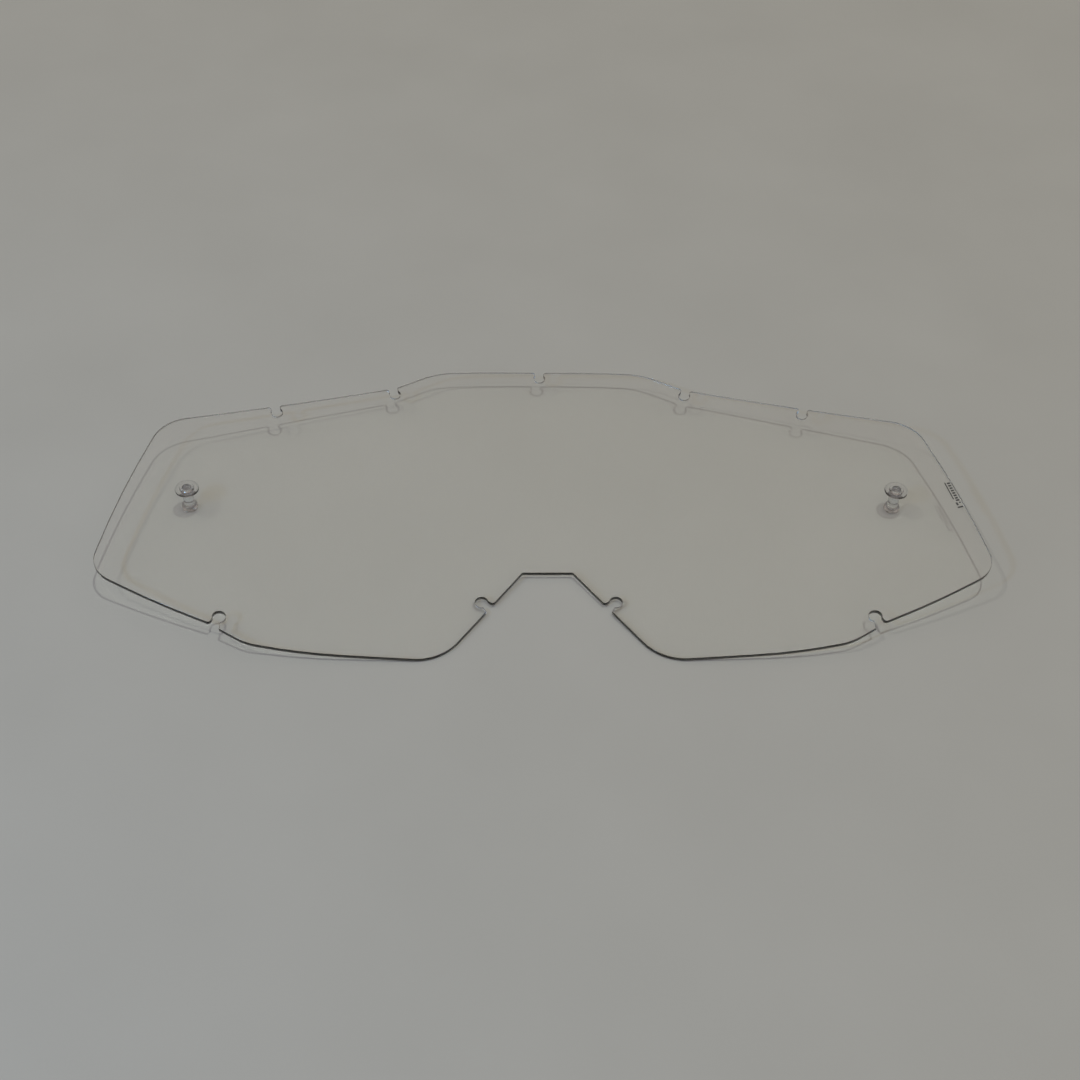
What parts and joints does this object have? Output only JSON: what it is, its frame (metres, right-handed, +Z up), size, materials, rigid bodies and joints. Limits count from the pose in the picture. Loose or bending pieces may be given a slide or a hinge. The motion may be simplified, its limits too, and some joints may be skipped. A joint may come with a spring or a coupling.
{
  "type": "motocross goggle lens",
  "caption": "Clear curved replacement lens for motocross goggles, with keyhole notches round its edge, a nose cut-out and tear-off film posts near its ends.",
  "frame": {"origin": "on the surface the lens rests on, below the middle of its outline's box", "axes": "+X from the left post to the right post, +Y from the nose cut-out to the brow edge, +Z up, from the outer face to the face side"},
  "size_m": [0.176, 0.0788, 0.0071],
  "materials": {
    "clear_lens": "polished clear polycarbonate sheet",
    "clear_post": "moulded clear plastic"
  },
  "bodies": {
    "root": {"lens": "clear_lens", "left_tear_off_post": "clear_post", "right_tear_off_post": "clear_post", "left_post_cap": "clear_post", "right_post_cap": "clear_post"}
  },
  "joints": []
}
